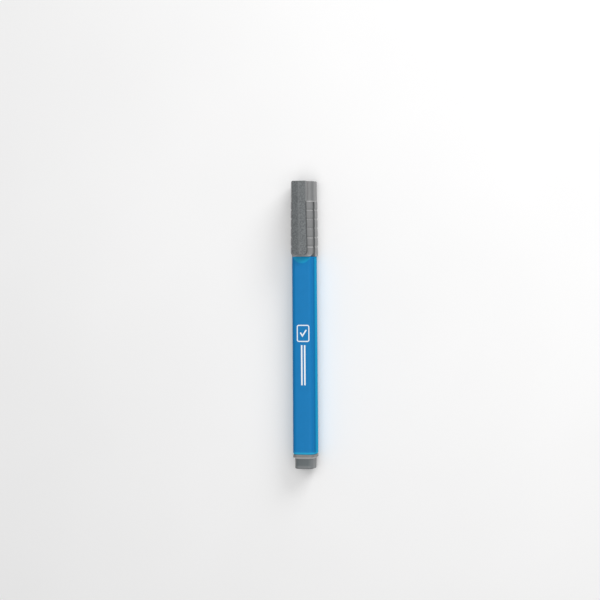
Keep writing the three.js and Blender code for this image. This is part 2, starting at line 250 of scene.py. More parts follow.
CAP_HALF_TOP, CAP_HALF_LEDGE = 5.58, 5.7
TOP_EDGE, TOP_EDGE_MIDDLE = 0.45, 0.13  # how far in the rounded top edge starts, and is halfway round
CAP_BORE, CAP_ROOF = 3.8, 1.6
KEYWAY_HALF, KEYWAY_LENGTH = 3.9, 2.6
SNAP_ABOVE_RIM = 4.0  # where the neck's snap ring and the groove for it begin
SNAP_GROOVE_DEPTH, SNAP_GROOVE_LENGTH = 0.2, 0.8
GATE_RADIUS, GATE_DEPTH = 0.9, 0.12  # the round mark that a moulding's gate leaves

GRIP_PITCH = 4.45
GRIP_CROWN = 0.03  # how far the middle of a band stands out
BAND_SHARES = (0.8, 0.6, 0.4, 0.2)  # where the points of a band's crown lie along it
STEP_DEPTH, STEP_ROUNDING = 0.16, 0.14
STEP_START, STEP_FOOT, STEP_END = 0.3, 0.05, -0.25  # along the pen, from a step's own place

SLOT_LOW, SLOT_HIGH, SLOT_FLOOR = 1.65, 4.15, 4.6
SLOT_SHORT_OF_GRIP = 0.5
PANEL_CORNER_IN, PANEL_CORNER_LENGTH, PANEL_CORNER_BEND = 1.9, 3.6, 1.2
ROOT_SINK = 0.02  # the clip's root block ends this far inside the clip
ROOT_ROUNDING = 0.18
RAIL_TOP, RAIL_FALL, RAIL_SHORT = 7.9, 1.6, 0.6
RAIL_CREST, RAIL_FOOT = 3.35, 4.9
RAIL_ROUNDING = 0.35
RAIL_SINK = 0.5  # the rail's end at the clip's root starts this far below its surface
OVERLAP = 1  # how far a solid that joins the cap reaches into it, and one that cuts it reaches past it


def grip_half(y):
    """Half the grip's width at y, at the full width of its bands."""
    return mix(CAP_HALF_LEDGE, cap_high.x, (GRIP_TOP - y) / (GRIP_TOP - CAP_RIM))


def grip_profile():
    """The grip's bands. Each draws in a little towards the rim, and the next one steps out below it."""
    profile = []
    y = GRIP_TOP
    while y > CAP_RIM + 1.5 * GRIP_PITCH:
        y -= GRIP_PITCH
        for share in BAND_SHARES:
            crown_y = y + share * GRIP_PITCH
            profile.append((grip_half(crown_y) + GRIP_CROWN * math.sin(math.pi * share), crown_y, 1))
        profile.append((grip_half(y) - STEP_DEPTH, y + STEP_START, 1))
        profile.append((grip_half(y) - STEP_DEPTH, y + STEP_FOOT, 1))
        profile.append((grip_half(y), y + STEP_END, 1))
    return profile


def side_slot(side):
    """What is cut from one side of the cap for its long slot: side is 1 or -1."""
    near, far = sorted((side * SLOT_FLOOR, side * (cap_high.x + OVERLAP)))
    slot_end = GRIP_TOP - SLOT_SHORT_OF_GRIP
    return rounded_box((near, CAP_RIM - OVERLAP, SLOT_LOW), (far, slot_end, SLOT_HIGH), 0)


def corner_outline(side):
    """Points (x, y) round what is cut from one lower corner of the cap's front panel."""
    outside, below = cap_high.x + OVERLAP, CAP_RIM - OVERLAP
    start = Vector((cap_high.x + 0.02, CAP_RIM + PANEL_CORNER_LENGTH))
    corner = Vector((cap_high.x, CAP_RIM + PANEL_CORNER_BEND))
    end = Vector((cap_high.x - PANEL_CORNER_IN, CAP_RIM - 0.05))
    steps = 12
    curve = [bend(start, corner, end, i / steps) for i in range(steps + 1)]
    points = [*curve, Vector((end.x, below)), Vector((outside, below)), Vector((outside, start.y))]
    return [(side * p.x, p.y) for p in points]


def rail_section(y, proud):
    """Points (x, z) round the rail at y. Proud is how far its surface stands out with the grip's steps."""
    top = mix(RAIL_TOP, RAIL_TOP - RAIL_FALL, (GRIP_TOP - y) / (GRIP_TOP - CAP_RIM)) + proud
    crest, foot, floor = RAIL_CREST + proud, RAIL_FOOT + proud, CAP_HALF_TOP - OVERLAP
    start, corner = Vector((crest - RAIL_ROUNDING, top)), Vector((crest, top))
    end = corner + Vector((foot - crest, floor - top)).normalized() * RAIL_ROUNDING
    steps = 6
    right = [bend(start, corner, end, i / steps) for i in range(steps + 1)]
    right.append(Vector((foot, floor)))
    return [(p.x, p.y) for p in right] + [(-p.x, p.y) for p in reversed(right)]


def make_rail():
    """The raised strip of the cap's front that lies under the clip's arm. The grip's steps run across it."""
    steps = [(size - grip_half(y), y, 0) for size, y, _ in grip_profile()]
    start = [(-RAIL_SINK, GRIP_TOP + 0.15, 0), (0, GRIP_TOP + STEP_END, 0)]
    rows = softened([*start, *steps, (0, CAP_RIM + RAIL_SHORT, 0)], STEP_ROUNDING)
    return solid("rail", [[(x, y, z) for x, z in rail_section(y, proud)] for proud, y, _ in rows])


def make_cap():
    snap_at = CAP_RIM + SNAP_ABOVE_RIM
    profile = [
        (GATE_RADIUS - 0.1, CAP_TOP - GATE_DEPTH, 0),
        (GATE_RADIUS, CAP_TOP - GATE_DEPTH, 0),
        (GATE_RADIUS + 0.1, CAP_TOP, 0),
        (CAP_HALF_TOP - TOP_EDGE, CAP_TOP, 1),
        (CAP_HALF_TOP - TOP_EDGE_MIDDLE, CAP_TOP - TOP_EDGE_MIDDLE, 1),
        (CAP_HALF_TOP, CAP_TOP - TOP_EDGE, 1),
        (CAP_HALF_TOP, GRIP_TOP + STEP_FOOT, 1),
        (CAP_HALF_LEDGE, GRIP_TOP + STEP_END, 1),
        *grip_profile(),
        (cap_high.x, CAP_RIM, 1),
        (KEYWAY_HALF, CAP_RIM, 1),
        (KEYWAY_HALF, CAP_RIM + KEYWAY_LENGTH, 1),
        (CAP_BORE, CAP_RIM + KEYWAY_LENGTH + 0.1, 0),
        (CAP_BORE, snap_at - 0.3, 0),
        (CAP_BORE + SNAP_GROOVE_DEPTH, snap_at, 0),
        (CAP_BORE + SNAP_GROOVE_DEPTH, snap_at + SNAP_GROOVE_LENGTH, 0),
        (CAP_BORE, snap_at + SNAP_GROOVE_LENGTH + 0.6, 0),
        (CAP_BORE, CAP_TOP - CAP_ROOF, 0),
        (1, CAP_TOP - CAP_ROOF, 0),
    ]
    cap = skin("cap_moulding", profile, STEP_ROUNDING)
    root_low = (-CLIP_HALF, GRIP_TOP, CAP_HALF_TOP - OVERLAP)
    root_high = (CLIP_HALF, CAP_TOP - 0.1, CLIP_UNDER - ROOT_SINK)
    combine(cap, rounded_box(root_low, root_high, ROOT_ROUNDING), "UNION")
    combine(cap, make_rail(), "UNION")
    for side in (1, -1):
        combine(cap, side_slot(side), "DIFFERENCE")
        corner = stood_up(corner_outline(side), SLOT_LOW + 0.3, cap_high.x + OVERLAP)
        combine(cap, corner, "DIFFERENCE")
    return cap


LINER_WALL = 0.5
LINER_FLOOR = 2 * LINER_WALL


def make_liner():
    """The soft cup that seals the nib: its floor is at the cap's closed end."""
    outer, inner, middle = liner_high.x, liner_high.x - LINER_WALL, 0.6
    profile = [
        (middle, liner_high.y, 0),
        (outer, liner_high.y, 0),
        (outer, liner_low.y, 0),
        (inner, liner_low.y, 0),
        (inner, liner_high.y - LINER_FLOOR, 0),
        (middle, liner_high.y - LINER_FLOOR, 0),
    ]
    return skin("liner_cup", profile)


# ---------------------------------------------------------------- clip

CLIP_DROP = 0.8  # how far the arm leans in from its root to its tip
CLIP_TIP_RADIUS = 2.2
CLIP_EDGE_RADIUS, CLIP_END_RADIUS, RIDGE_RADIUS = 0.28, 0.18, 0.22
BEAD_FROM_TIP, BEAD_PROUD, BEAD_HALF = 3.6, 1.0, 2.5
BEAD_REACH = 1.35  # along the pen, from its middle to where it meets the arm
BEAD_END = 0.5  # across the pen, how much of the bead is rounded at each end
CLIP_STEPS_ACROSS = 28
CLIP_STEP_ALONG, CLIP_FINE_STEP = 0.9, 0.15
CLIP_FINE_LENGTH = 7  # the arm takes the finer steps over about this much of its length, from its tip
QUARTER = [math.radians(a) for a in (0, 22.5, 45, 67.5, 90)]


def clip_lift(y):
    """What the arm's lean adds to its height at y: nothing at the root, and less than nothing at the tip."""
    return -CLIP_DROP * max(0, (GRIP_TOP - y) / (GRIP_TOP - CLIP_TIP))


def clip_half(y):
    """Half the clip's width: it widens from its root to its tip, whose corners are rounded."""
    past = CLIP_TIP + CLIP_TIP_RADIUS - y
    if past <= 0:
        share = max(0, (GRIP_TOP - y) / (GRIP_TOP - CLIP_TIP - CLIP_TIP_RADIUS))
        return mix(CLIP_HALF, CLIP_HALF_TIP, share)
    return CLIP_HALF_TIP - CLIP_TIP_RADIUS + math.sqrt(max(0, CLIP_TIP_RADIUS**2 - past**2))


def bead_bump(x, y):
    """How far the bead that holds a pocket's edge stands out below the arm."""
    along = (y - CLIP_TIP - BEAD_FROM_TIP) / BEAD_REACH
    across = (BEAD_HALF - abs(x)) / BEAD_END
    if abs(along) >= 1 or across <= 0:
        return 0
    return BEAD_PROUD * math.sqrt(1 - along**2) * math.sin(min(1, across) * math.pi / 2)


def clip_roof(x):
    """Height of the clip's top face, which falls to both sides of a soft ridge."""
    return CLIP_RIDGE - CLIP_ROOF / CLIP_HALF * (math.hypot(x, RIDGE_RADIUS) - RIDGE_RADIUS)


def clip_section(y, inset):
    """Points (x, z) round the clip at y. Inset pulls them in where the two ends are rounded."""
    radius = CLIP_EDGE_RADIUS
    flat = clip_half(y) - inset - radius
    across = [flat * (2 * i / CLIP_STEPS_ACROSS - 1) for i in range(CLIP_STEPS_ACROSS + 1)]
    under = CLIP_UNDER + inset
    top = [(x, clip_roof(x) - inset) for x in across]
    bottom = [(-x, under - bead_bump(x, y)) for x in across]
    edge_top = clip_roof(flat) - inset
    right = [(flat + radius * math.sin(a), edge_top - radius + radius * math.cos(a)) for a in QUARTER[1:]]
    right += [(flat + radius * math.cos(a), under + radius - radius * math.sin(a)) for a in QUARTER[:-1]]
    left = [(-x, z) for x, z in reversed(right)]
    lift = clip_lift(y)
    return [(x, z + lift) for x, z in top + right + bottom + left]


def clip_stations():
    """Places along the clip and their insets: an arc at each end, and finer steps at the tip and the bead."""
    arc = [(CLIP_END_RADIUS * (1 - math.cos(a)), CLIP_END_RADIUS * (1 - math.sin(a))) for a in QUARTER]
    root_end = [(CAP_TOP - along, inset) for along, inset in arc]
    tip_end = [(CLIP_TIP + along, inset) for along, inset in reversed(arc)]
    first = CAP_TOP - 1
    coarse = int((first - CLIP_TIP - CLIP_FINE_LENGTH) / CLIP_STEP_ALONG)
    places = [first - CLIP_STEP_ALONG * i for i in range(coarse)]
    last = places[-1]
    fine = int((last - CLIP_TIP - 0.5) / CLIP_FINE_STEP)
    places += [mix(last, CLIP_TIP + 0.42, i / fine) for i in range(1, fine + 1)]
    return root_end + [(y, 0) for y in places] + tip_end


def make_clip():
    rings = [[(x, y, z) for x, z in clip_section(y, inset)] for y, inset in clip_stations()]
    return solid("clip_moulding", rings)


# ---------------------------------------------------------------- barrel

SCOOP_RADIUS, SCOOP_DEPTH, SCOOP_ABOVE_RIM = 5.0, 1.0, 1.4
KEY_HALF, KEY_LENGTH = 3.75, 2.1  # the neck's square foot
NECK_RADIUS, NECK_BORE = 3.5, 2.6
NECK_CHAMFER = 0.5
SNAP_RADIUS, SNAP_LENGTH, SNAP_SLOPE = 3.7, 0.7, 0.5  # the ring on the neck that the cap snaps over
CHAMBER_RADIUS, CHAMBER_END = 4.3, 6.1
SHOULDER_EDGE = 0.1
TAIL_ROUNDING, TAIL_EDGE = 0.9, 0.32


def scoop_ball():
    """The ball that leaves the thumb scoop where it dips into the barrel's front face."""
    ball_radius = (SCOOP_RADIUS**2 + SCOOP_DEPTH**2) / (2 * SCOOP_DEPTH)
    height = BARREL_HALF_FRONT + ball_radius - SCOOP_DEPTH
    bm = bmesh.new()
    bmesh.ops.create_uvsphere(bm, u_segments=96, v_segments=96, radius=ball_radius * MM)
    bmesh.ops.translate(bm, verts=bm.verts, vec=metres(0, CAP_RIM + SCOOP_ABOVE_RIM, height))
    return finish_mesh("ball", bm)


def make_barrel():
    snap_at = CAP_RIM + SNAP_ABOVE_RIM
    chamber_front = SHOULDER - CHAMBER_END
    tail = BARREL_TAIL
    body = []
    for tenth in range(9, 0, -1):
        share = tenth / 10
        body.append((mix(BARREL_HALF_TAIL, BARREL_HALF_FRONT, share), mix(tail, SHOULDER, share), 1))
    profile = [
        (CHAMBER_RADIUS, tail, 0),
        (CHAMBER_RADIUS, chamber_front - 1, 0),
        (NECK_BORE, chamber_front + 0.7, 0),
        (NECK_BORE, NECK_END, 0),
        (NECK_RADIUS - NECK_CHAMFER, NECK_END, 0),
        (NECK_RADIUS, NECK_END - NECK_CHAMFER, 0),
        (NECK_RADIUS, snap_at + SNAP_LENGTH + SNAP_SLOPE, 0),
        (SNAP_RADIUS, snap_at + SNAP_LENGTH, 0),
        (SNAP_RADIUS, snap_at, 0),
        (NECK_RADIUS, snap_at - SNAP_SLOPE, 0),
        (NECK_RADIUS, SHOULDER + KEY_LENGTH + 0.1, 0),
        (NECK_RADIUS + 0.05, SHOULDER + KEY_LENGTH + 0.05, 0.1),
        (KEY_HALF, SHOULDER + KEY_LENGTH, 1),
        (KEY_HALF, SHOULDER, 1),
        (BARREL_HALF_FRONT - SHOULDER_EDGE, SHOULDER, 1),
        (BARREL_HALF_FRONT, SHOULDER - 0.12, 1),
        *body,
        (BARREL_HALF_TAIL, tail + TAIL_ROUNDING, 1),
        (BARREL_HALF_TAIL - 0.1, tail + TAIL_ROUNDING / 2, 1),
        (BARREL_HALF_TAIL - TAIL_EDGE, tail, 1),
    ]
    barrel = skin("barrel_moulding", profile, closed=True)
    combine(barrel, scoop_ball(), "DIFFERENCE")
    return barrel


# The printed mark: a generic banknote outline with a tick in it, and plain bars below
MARK_CENTRE = -3.9
MARK_ASIDE = 0.5  # the print is a little to one side of the face's middle
MARK_HALF_WIDTH, MARK_HALF_LENGTH, MARK_CORNER = 2.9, 3.9, 0.8
MARK_STROKE, TICK_STROKE = 0.5, 0.65
TICK = [(-1.35, 0.4), (-0.35, -1.25), (1.6, 1.7)]
STRIPE_TOP, STRIPE_LENGTH = -9.6, 19.5
STRIPE_X, STRIPE_WIDTH = (-0.75, 0.75), 0.75
INK_THICKNESS = 0.03
INK_STEP = 0.5  # the longest straight stretch of a printed line
MITRE_LIMIT = 0.4  # keeps the corner of a sharply turned line from growing into a spike


def face_height(x, y):
    """Height of the barrel's front face above the axis."""
    half = mix(BARREL_HALF_TAIL, BARREL_HALF_FRONT, (y - BARREL_TAIL) / (SHOULDER - BARREL_TAIL))
    return half - FACE_CROWN * (x / half) ** 2


def rounded_outline(half_width, half_length, radius, centre):
    """Points (x, y) round a rectangle with rounded corners, whose middle lies at y = centre."""
    steps = 8
    points = []
    for turn, (right, up) in enumerate(((1, 1), (-1, 1), (-1, -1), (1, -1))):
        middle_x, middle_y = right * (half_width - radius), centre + up * (half_length - radius)
        for i in range(steps + 1):
            angle = (turn + i / steps) * math.pi / 2
            points.append(Vector((middle_x + radius * math.cos(angle), middle_y + radius * math.sin(angle))))
    return points


def add_ribbon(bm, points, width, closed):
    """A thin raised line of ink along points (x, y) on the barrel's front face."""
    count = len(points)
    rows = []
    for i, point in enumerate(points):
        before = points[i - 1] if closed or i else point
        after = points[(i + 1) % count] if closed or i < count - 1 else point
        first = (point - before).normalized() if before != point else (after - point).normalized()
        second = (after - point).normalized() if after != point else first
        along = (first + second).normalized()
        across = Vector((-along.y, along.x)) * (width / 2 / max(MITRE_LIMIT, along.dot(first)))
        rows.append((point + across, point - across))
    rings = []
    for left, right in rows:
        ring = []
        for edge, raised in ((left, 1), (right, 1), (right, -1), (left, -1)):
            height = face_height(edge.x, edge.y) + raised * INK_THICKNESS / 2
            ring.append(bm.verts.new(metres(edge.x, edge.y, height)))
        rings.append(ring)
    if closed:
        rings.append(rings[0])
    loft(bm, rings, capped=not closed)


def in_short_steps(points):
    """The same line with more points, so that it follows the face's curve."""
    fine = []
    for a, b in zip(points, points[1:]):
        pieces = math.ceil((b - a).length / INK_STEP)
        fine += [a.lerp(b, i / pieces) for i in range(pieces)]
    return fine + [points[-1]]


def make_mark():
    bm = bmesh.new()
    note = rounded_outline(MARK_HALF_WIDTH, MARK_HALF_LENGTH, MARK_CORNER, MARK_CENTRE)
    add_ribbon(bm, in_short_steps([*note, note[0]])[:-1], MARK_STROKE, closed=True)
    tick = [Vector((x, MARK_CENTRE + y)) for x, y in TICK]
    add_ribbon(bm, in_short_steps(tick), TICK_STROKE, closed=False)
    for x in STRIPE_X:
        stripe = [Vector((x, STRIPE_TOP)), Vector((x, STRIPE_TOP - STRIPE_LENGTH))]
        add_ribbon(bm, in_short_steps(stripe), STRIPE_WIDTH, closed=False)
    bmesh.ops.translate(bm, verts=bm.verts, vec=(MARK_ASIDE * MM, 0, 0))
    return finish_mesh("barrel_print", bm)


# ---------------------------------------------------------------- ink system and plug

NIB_TAIL_RADIUS = 1.15
NIB_HOLE = 1.45  # radius of the holes that the nib's tail passes through
NIB_BODY = 12.7  # from where the nib's tail ends to its tip
NIB_ROUNDING = 0.6
HOLDER_MOUTH = 2.0
HOLDER_SOCKET_START = 3.7  # above the neck's end
HOLDER_NOSE_ROOT, HOLDER_NOSE_TIP, HOLDER_NOSE_EDGE = 3.0, 2.6, 2.35
HOLDER_FLANGE = 1.0
HOLDER_CLEARANCE = 0.1  # round the holder's tail in the neck
FILM_WALL = 0.12


def make_holder():
    low, high = holder_low.y, holder_high.y
    flange = NECK_END + JOINT_GAP
    socket = NECK_END + HOLDER_SOCKET_START
    profile = [
        (NIB_HOLE, low, 0),
        (NECK_BORE - HOLDER_CLEARANCE, low, 0),
        (NECK_BORE - HOLDER_CLEARANCE, flange, 0),
        (holder_high.x, flange, 0),
        (holder_high.x, flange + HOLDER_FLANGE, 0),
        (HOLDER_NOSE_ROOT, flange + 1.5 * HOLDER_FLANGE, 0),
        (HOLDER_NOSE_TIP, high - 0.4, 0),
        (HOLDER_NOSE_EDGE, high, 0),
        (HOLDER_MOUTH, high, 0),
        (HOLDER_MOUTH, socket, 0),
        (NIB_HOLE, socket, 0),
    ]
    return skin("nib_holder_moulding", profile, 0.2, closed=True)


def make_nib():
    """The felt rod: a thin tail that draws the ink, a straight body, and a bullet tip."""
    radius = nib_high.x
    step = nib_high.y - NIB_BODY
    profile = [
        (0.4, nib_low.y, 0),
        (0.8, nib_low.y + 0.2, 0),
        (NIB_TAIL_RADIUS, nib_low.y + 1, 0),
        (NIB_TAIL_RADIUS, step, 0),
        (radius, step, 0),
        (radius, step + 4, 0),
        (radius, step + 6, 0),
        (radius, step + 7.6, 0),
        (1.7, step + 9.1, 0),
        (1.38, step + 10.5, 0),
        (0.98, step + 11.7, 0),
        (0.55, step + 12.45, 0),
        (0.12, step + 12.69, 0),
    ]
    return skin("felt_nib", profile, NIB_ROUNDING)


def make_fibre():
    """The reservoir's fibre rod, with the hole that the nib's tail goes into."""
    profile = [
        (1, fibre_low.y, 0),
        (fibre_high.x, fibre_low.y, 0),
        (fibre_high.x, fibre_high.y, 0),
        (NIB_HOLE, fibre_high.y, 0),
        (NIB_HOLE, nib_low.y - 0.2, 0),
        (0.5, nib_low.y - 0.3, 0),
    ]
    return skin("fibre_rod", profile, 0.3)


def make_film():
    inner = sleeve_high.x - FILM_WALL
    profile = [
        (inner, sleeve_low.y, 0),
        (sleeve_high.x, sleeve_low.y, 0),
        (sleeve_high.x, sleeve_high.y, 0),
        (inner, sleeve_high.y, 0),
    ]
    return skin("film_tube", profile, 0.03, closed=True)


STUB_LENGTH, STUB_HALF = 5.4, 4.65
FLANGE_HALF = 5.48
FLANGE_LOW, FLANGE_HIGH = STUB_END + STUB_LENGTH, BARREL_TAIL - JOINT_GAP
PLUG_FLOOR, PLUG_WALL = 1.8, 1.0
SPIGOT_RADIUS, SPIGOT_TAPER = 4.0, 0.4
SEAL_STARTS = (1.6, 3.8)  # where the spigot's two sealing rings start, from its end
SEAL_PROUD, SEAL_STEP = 0.12, 0.4  # each ring rises, runs level and falls, over one step each


def seal_profile(start):
    top = SPIGOT_END - start
    radii = (SPIGOT_RADIUS, SPIGOT_RADIUS + SEAL_PROUD, SPIGOT_RADIUS + SEAL_PROUD, SPIGOT_RADIUS)
    return [(radius, top - i * SEAL_STEP, 0) for i, radius in enumerate(radii)]


def make_plug():
    inside = SPIGOT_RADIUS - PLUG_WALL
    profile = [
        (inside - 1, STUB_END + PLUG_FLOOR, 0),
        (inside - SPIGOT_TAPER, STUB_END + PLUG_FLOOR, 0),
        (inside, SPIGOT_END, 0),
        (SPIGOT_RADIUS - SPIGOT_TAPER, SPIGOT_END, 0),
        *seal_profile(SEAL_STARTS[0]),
        *seal_profile(SEAL_STARTS[1]),
        (SPIGOT_RADIUS, FLANGE_HIGH, 0),
        (FLANGE_HALF - SHOULDER_EDGE, FLANGE_HIGH, 1),
        (FLANGE_HALF, FLANGE_HIGH - 0.12, 1),
        (FLANGE_HALF, FLANGE_LOW + 0.3, 1),
        (FLANGE_HALF - 0.25, FLANGE_LOW, 1),
        (STUB_HALF, FLANGE_LOW, 1),
        (STUB_HALF, STUB_END + 0.55, 1),
        (STUB_HALF - 0.15, STUB_END + 0.15, 1),
        (STUB_HALF - 0.5, STUB_END, 1),
        (GATE_RADIUS + 0.1, STUB_END, 0),
        (GATE_RADIUS, STUB_END + GATE_DEPTH, 0),
        (GATE_RADIUS - 0.2, STUB_END + GATE_DEPTH, 0),
    ]
    return skin("plug_moulding", profile, 0.12)


# ---------------------------------------------------------------- materials


class Look:
    """A material's node tree, with short calls that add and join its nodes."""

    def __init__(self, name):
        self.material = bpy.data.materials.new(name)
        self.material.use_nodes = True
        self.tree = self.material.node_tree
        self.shader = self.tree.nodes["Principled BSDF"]
        self.place = self.add("ShaderNodeTexCoord").outputs["Object"]

    def add(self, kind, **settings):
        node = self.tree.nodes.new(kind)
        for name, value in settings.items():
            setattr(node, name, value)
        return node

    def join(self, source, target):
        self.tree.links.new(source, target)

    def noise(self, size_mm, detail=2.0, stretch=(1, 1, 1)):
        """Noise whose features are about size_mm across, drawn out along an axis by stretch."""
        mapping = self.add("ShaderNodeMapping")
        mapping.inputs["Scale"].default_value = [1 / s for s in stretch]
        self.join(self.place, mapping.inputs["Vector"])
        noise = self.add("ShaderNodeTexNoise")
        noise.inputs["Scale"].default_value = 1 / (size_mm * MM)
        noise.inputs["Detail"].default_value = detail
        self.join(mapping.outputs["Vector"], noise.inputs["Vector"])
        return noise.outputs["Fac"]

    def ramp(self, value, low, high, start=0.3, end=0.7):
        """Maps a value between start and end to the range from low to high."""
        node = self.add("ShaderNodeMapRange")
        for name, number in (("From Min", start), ("From Max", end), ("To Min", low), ("To Max", high)):
            node.inputs[name].default_value = number
        self.join(value, node.inputs["Value"])
        return node.outputs["Result"]

    def axis(self, vector, letter):
        """One coordinate of a vector: X, Y or Z."""
        node = self.add("ShaderNodeSeparateXYZ")
        self.join(vector, node.inputs[0])
        return node.outputs[letter]

    def maths(self, operation, value, other=0):
        """One step of arithmetic on a node's output, with a number or another output."""
        node = self.add("ShaderNodeMath", operation=operation)
        self.join(value, node.inputs[0])
        if isinstance(other, bpy.types.NodeSocket):
            self.join(other, node.inputs[1])
        else:
            node.inputs[1].default_value = other
        return node.outputs[0]

    def both(self, *masks):
        """A mask of where all these masks are 1."""
        whole = masks[0]
        for mask in masks[1:]:
            whole = self.maths("MULTIPLY", whole, mask)
        return whole

    def band(self, value, low, high, soft=0.1):
        """A mask of where a length lies between low and high. Its edges are as wide as soft."""
        rise = self.ramp(value, 0, 1, (low - soft / 2) * MM, (low + soft / 2) * MM)
        fall = self.ramp(value, 1, 0, (high - soft / 2) * MM, (high + soft / 2) * MM)
        return self.both(rise, fall)

    def facing(self, letter):
        """How far the surface faces along one of the object's own axes, from -1 to 1."""
        return self.axis(self.add("ShaderNodeTexCoord").outputs["Normal"], letter)

    def blend(self, factor, first, second):
        """A colour between two: each is four numbers or another node's output."""
        node = self.add("ShaderNodeMix", data_type="RGBA")
        self.join(factor, node.inputs["Factor"])
        for socket, colour in ((node.inputs[6], first), (node.inputs[7], second)):
            if isinstance(colour, bpy.types.NodeSocket):
                self.join(colour, socket)
            else:
                socket.default_value = colour
        return node.outputs[2]

    def colour(self, output):
        self.join(output, self.shader.inputs["Base Color"])

    def roughness(self, output):
        self.join(output, self.shader.inputs["Roughness"])

    def bump(self, height, depth_mm, strength=1.0):
        """Adds relief of about depth_mm on top of any that is there already."""
        node = self.add("ShaderNodeBump")
        node.inputs["Distance"].default_value = depth_mm * MM
        node.inputs["Strength"].default_value = strength
        self.join(height, node.inputs["Height"])
        normal = self.shader.inputs["Normal"]
        if normal.is_linked:
            self.join(normal.links[0].from_socket, node.inputs["Normal"])
        self.join(node.outputs["Normal"], normal)


def tinted(colour, factor):
    """A colour made lighter or darker by a factor, with the alpha that a socket wants."""
    return (*(c * factor for c in colour), 1)


def moulded_plastic(name, colour, rough, grain_mm, grain_depth, tone=0.04):
    """Injection-moulded plastic: mottled a little, with flow lines along the pen and a fine mould grain."""
    look = Look(name)
    mottle = look.ramp(look.noise(3.0, 3), 0, 1)
    flow = look.ramp(look.noise(0.7, 2, stretch=(1, 14, 1)), 0, 1)
    base = look.blend(mottle, tinted(colour, 1 - tone), tinted(colour, 1 + tone))
    look.colour(look.blend(look.ramp(flow, 0, 0.35, 0, 1), base, tinted(colour, 1 - 1.5 * tone)))
    look.roughness(look.ramp(look.noise(1.3, 3), rough - 0.05, rough + 0.05))
    look.bump(look.noise(grain_mm, 4), grain_depth)
    look.bump(look.noise(6.0, 1), 0.03, 0.5)
    return look


def tint(look, mask, colour):
    """Mixes a colour over the look's own colour where the mask is 1."""
    under = look.shader.inputs["Base Color"].links[0].from_socket
    look.colour(look.blend(mask, under, (*colour, 1)))


def sides(look, low, high, soft=1.2, start=0.6):
    """A mask of the two side faces and their corners, between two heights above the pen's axis. Start is
    how far a corner has to turn towards the side before it counts."""
    sideways = look.ramp(look.maths("ABSOLUTE", look.facing("X")), 0, 1, start, 0.9)
    return look.both(sideways, look.band(look.axis(look.place, "Z"), AXIS + low, AXIS + high, soft))


# Base colours and, after each, the colours mixed over it
# The cap's corner colour is painted shade on its front corners and the upper parts of its sides.
# The cap's slot colour is painted shade inside each side slot.
CAP_GREY, CAP_CORNER_SHADE, CAP_SLOT_SHADE = (0.214, 0.216, 0.219), (0.152, 0.155, 0.158), (0.135, 0.14, 0.142)
# The cap's ledge colour is a painted highlight along each grip ledge.
# The cap's rim colour is a painted highlight round its rim band.
CAP_RIM_HIGHLIGHT, CAP_LEDGE_HIGHLIGHT = (0.31, 0.31, 0.312), (0.42, 0.42, 0.42)
# The barrel's corner colour is painted shade on its front corners.
# The barrel's side colour is painted light on the lower parts of its sides.
BARREL_BLUE, BARREL_CORNER_SHADE, BARREL_SIDE_LIGHT = (0.0105, 0.19, 0.46), (0.009, 0.166, 0.41), (0.018, 0.33, 0.58)
# The barrel's scoop colour is painted light in the thumb scoop.
# The barrel's tail-edge colour is a painted highlight on its rounded tail edge.
BARREL_TAIL_HIGHLIGHT, BARREL_SCOOP_LIGHT = (0.03, 0.42, 0.68), (0.016, 0.29, 0.52)
# The stub's patch colour is a painted dark reflection on its faces.
PLUG_GREY, STUB_GREY, STUB_DARK_REFLECTIONS = (0.2, 0.191, 0.187), (0.17, 0.18, 0.185), (0.1, 0.117, 0.123)
# The flange's edge colour is a painted highlight along its lower edge.
FLANGE_EDGE_HIGHLIGHT = (0.5, 0.5, 0.5)
# The clip's ridge colour is a painted highlight along its ridge.
CLIP_GREY, CLIP_SPECKLE, CLIP_RIDGE_HIGHLIGHT = (0.083, 0.091, 0.095), (0.144, 0.155, 0.159), (0.165, 0.174, 0.178)
# The clip's arm-side colour is painted shade on the arm's side walls.
# The clip's root-side colour is a painted highlight on the side walls of its root.
CLIP_ARM_SIDE_SHADE, CLIP_ROOT_SIDE_HIGHLIGHT = (0.042, 0.046, 0.048), (0.19, 0.195, 0.198)
HOLDER_BLACK, LINER_WHITE = (0.045, 0.048, 0.052), (0.78, 0.78, 0.75)
NIB_AMBER, NIB_WET = (0.58, 0.36, 0.07), (0.33, 0.17, 0.03)
FIBRE_AMBER, FIBRE_WET = (0.69, 0.55, 0.27), (0.5, 0.34, 0.12)
WEAKEST_LEDGE_HIGHLIGHT = GRIP_TOP - 10.8  # the painted ledge highlight grows stronger to both sides of here


